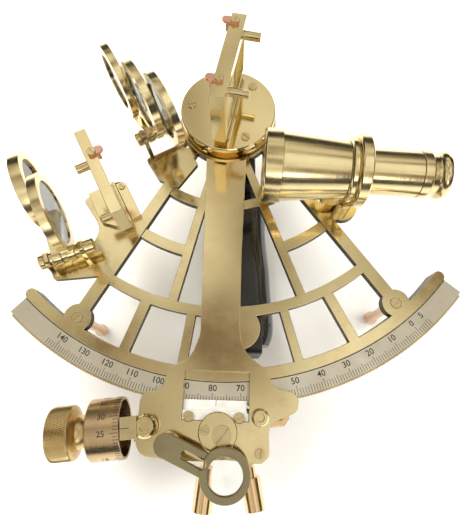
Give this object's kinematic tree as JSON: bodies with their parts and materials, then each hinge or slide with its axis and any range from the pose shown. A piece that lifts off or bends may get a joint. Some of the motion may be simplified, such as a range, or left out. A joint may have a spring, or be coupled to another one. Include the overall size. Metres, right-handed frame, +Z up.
{
  "type": "nautical sextant",
  "caption": "Brass marine sextant with a toothed arc, hinged index arm, micrometer drum, two mirrors, folding shades, a telescope and a handle behind the frame.",
  "frame": {"origin": "under the middle of the whole object, in the plane its three feet stand on", "axes": "+Z up out of the face with the instrument lying on its feet, +Y from the arc toward the index arm's pivot, +X toward the eyepiece"},
  "size_m": [0.2116, 0.2152, 0.096],
  "materials": {
    "frame_brass": "polished, dark in the edges",
    "scale_silver": "satin silvered",
    "rack_brass": "cut teeth",
    "leg_brass": "satin",
    "arm_brass": "polished",
    "mirror_frame_brass": "polished",
    "mirror_clip_copper": "polished",
    "mirror_glass": "silvered",
    "screw_brass": "turned",
    "index_white": "matt white",
    "mechanism_brass": "satin",
    "steel": "turned",
    "drum_brass": "satin",
    "knob_brass": "knurled",
    "telescope_brass": "polished",
    "eyecup_brass": "turned",
    "handle_black": "satin",
    "shade_ring_brass": "polished",
    "shade_glass_dark": "dark",
    "shade_glass_grey": "grey",
    "lens_glass": "clear"
  },
  "bodies": {
    "sextant_frame": {"frame": "frame_brass", "arc_scale": "scale_silver", "arc_rack": "rack_brass", "legs": "leg_brass", "frame_screws": "screw_brass", "handle_grip": "handle_black", "handle_brackets": "handle_black", "pivot_bearing": "frame_brass", "pivot_bearing_cap": "frame_brass", "telescope_bracket": "frame_brass", "telescope_barrel": "telescope_brass", "objective_cell": "telescope_brass", "objective_lens": "lens_glass", "telescope_collar": "telescope_brass", "horizon_mirror_base": "mirror_frame_brass", "horizon_mirror_frame": "mirror_frame_brass", "horizon_mirror_glass": "mirror_glass", "horizon_mirror_clips": "mirror_clip_copper", "horizon_mirror_screws": "screw_brass", "shade_brackets": "frame_brass", "shade_pins": "screw_brass", "shade_spacers": "screw_brass"},
    "draw_tube": {"eyepiece_tube": "telescope_brass", "eyecup": "eyecup_brass", "eye_lens": "lens_glass"},
    "index_arm_assembly": {"index_arm": "arm_brass", "pivot_shaft": "steel", "pivot_retainer": "steel", "pivot_disc": "arm_brass", "index_mirror_frame": "mirror_frame_brass", "index_mirror_glass": "mirror_glass", "index_mirror_clips": "mirror_clip_copper", "index_mirror_screws": "screw_brass", "index_plate": "index_white", "arm_screws": "screw_brass", "lever_pivot_cap": "arm_brass", "stop_boss": "arm_brass", "fixed_release_lever": "mechanism_brass", "release_spring": "steel", "magnifier_post": "arm_brass"},
    "magnifier": {"magnifier_arm": "arm_brass", "magnifier_lens": "lens_glass"},
    "worm_carriage_assembly": {"worm_carriage": "mechanism_brass", "moving_release_lever": "mechanism_brass", "drum_index": "mechanism_brass"},
    "drum": {"worm_shaft": "steel", "micrometer_drum": "drum_brass", "drum_knob": "knob_brass"},
    "index_shade_1_body": {"index_shade_1": "shade_ring_brass", "index_shade_glass_1": "shade_glass_dark"},
    "index_shade_2_body": {"index_shade_2": "shade_ring_brass", "index_shade_glass_2": "shade_glass_grey"},
    "index_shade_3_body": {"index_shade_3": "shade_ring_brass", "index_shade_glass_3": "shade_glass_dark"},
    "horizon_shade_1_body": {"horizon_shade_1": "shade_ring_brass", "horizon_shade_glass_1": "shade_glass_dark"},
    "horizon_shade_2_body": {"horizon_shade_2": "shade_ring_brass", "horizon_shade_glass_2": "shade_glass_grey"}
  },
  "joints": [
    {"name": "index_swing", "type": "hinge", "parent": "sextant_frame", "child": "index_arm_assembly", "pos_m": [-0.00441, 0.08163, 0.041], "axis": [0, 0, 1], "range_deg": [-23.3, 39.3]},
    {"name": "carriage_release", "type": "hinge", "parent": "index_arm_assembly", "child": "worm_carriage_assembly", "pos_m": [-0.03819, -0.07326, 0.041], "axis": [0, 0, -1], "range_deg": [0, 3.5], "stiffness_Nm_per_rad": 0.15, "springref_deg": -11.46},
    {"name": "drum_spin", "type": "hinge", "parent": "worm_carriage_assembly", "child": "drum", "pos_m": [0.01018, -0.06856, 0.0387], "axis": [-0.9953, -0.0967, 0], "range_deg": [-28260, 16740]},
    {"name": "magnifier_swing", "type": "hinge", "parent": "index_arm_assembly", "child": "magnifier", "pos_m": [-0.02893, -0.08013, 0.051], "axis": [0, 0, 1], "range_deg": [0, 65]},
    {"name": "draw_slide", "type": "slide", "parent": "sextant_frame", "child": "draw_tube", "axis": [0.9976, -0.0698, 0], "range_m": [0, 0.012]},
    {"name": "index_shade_1_fold", "type": "hinge", "parent": "sextant_frame", "child": "index_shade_1_body", "pos_m": [-0.03921, 0.06923, 0.0505], "axis": [0.866, 0.5, 0], "range_deg": [0, 77]},
    {"name": "index_shade_2_fold", "type": "hinge", "parent": "sextant_frame", "child": "index_shade_2_body", "pos_m": [-0.03921, 0.06923, 0.0505], "axis": [0.866, 0.5, 0], "range_deg": [-47, 30]},
    {"name": "index_shade_3_fold", "type": "hinge", "parent": "sextant_frame", "child": "index_shade_3_body", "pos_m": [-0.03921, 0.06923, 0.0505], "axis": [0.866, 0.5, 0], "range_deg": [-64, 13]},
    {"name": "horizon_shade_1_fold", "type": "hinge", "parent": "sextant_frame", "child": "horizon_shade_1_body", "pos_m": [-0.07902, 0.00163, 0.0495], "axis": [0.9304, 0.3665, 0], "range_deg": [0, 110]},
    {"name": "horizon_shade_2_fold", "type": "hinge", "parent": "sextant_frame", "child": "horizon_shade_2_body", "pos_m": [-0.07902, 0.00163, 0.0495], "axis": [0.9304, 0.3665, 0], "range_deg": [-41, 66]}
  ],
  "couplings": [
    {"joint": "index_swing", "follows": "drum_spin", "ratio": -0.0013889}
  ]
}
